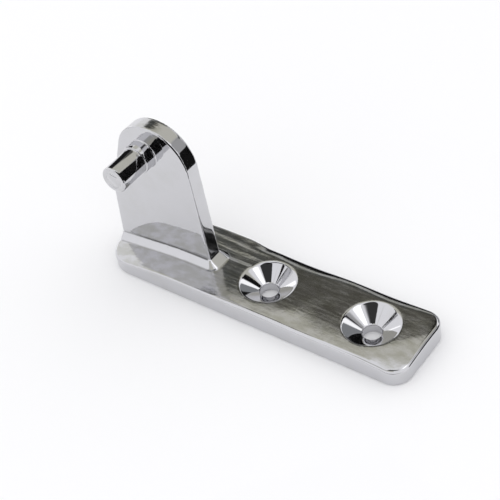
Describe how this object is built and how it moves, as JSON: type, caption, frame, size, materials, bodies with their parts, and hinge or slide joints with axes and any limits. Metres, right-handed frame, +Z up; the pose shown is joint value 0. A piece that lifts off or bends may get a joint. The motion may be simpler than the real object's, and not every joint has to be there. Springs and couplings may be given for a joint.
{
  "type": "pivot pin bracket",
  "caption": "Chrome-plated bracket: an oblong plate with countersunk screw holes and an upright round-headed lug carrying a horizontal shouldered pin.",
  "frame": {"origin": "on the plate's underside, on its centreline, straight below the pin's axis", "axes": "+X along the plate from the lug towards the screw holes, +Z up away from the surface the plate is screwed to, and the pin points along -Y"},
  "size_m": [0.075, 0.0204, 0.0374],
  "materials": {
    "chrome_casting": "hand-polished bright chrome plate on a zinc casting",
    "chrome_pin": "bright chrome plate on turned steel"
  },
  "bodies": {
    "root": {"bracket_casting": "chrome_casting", "pivot_pin": "chrome_pin"}
  },
  "joints": []
}
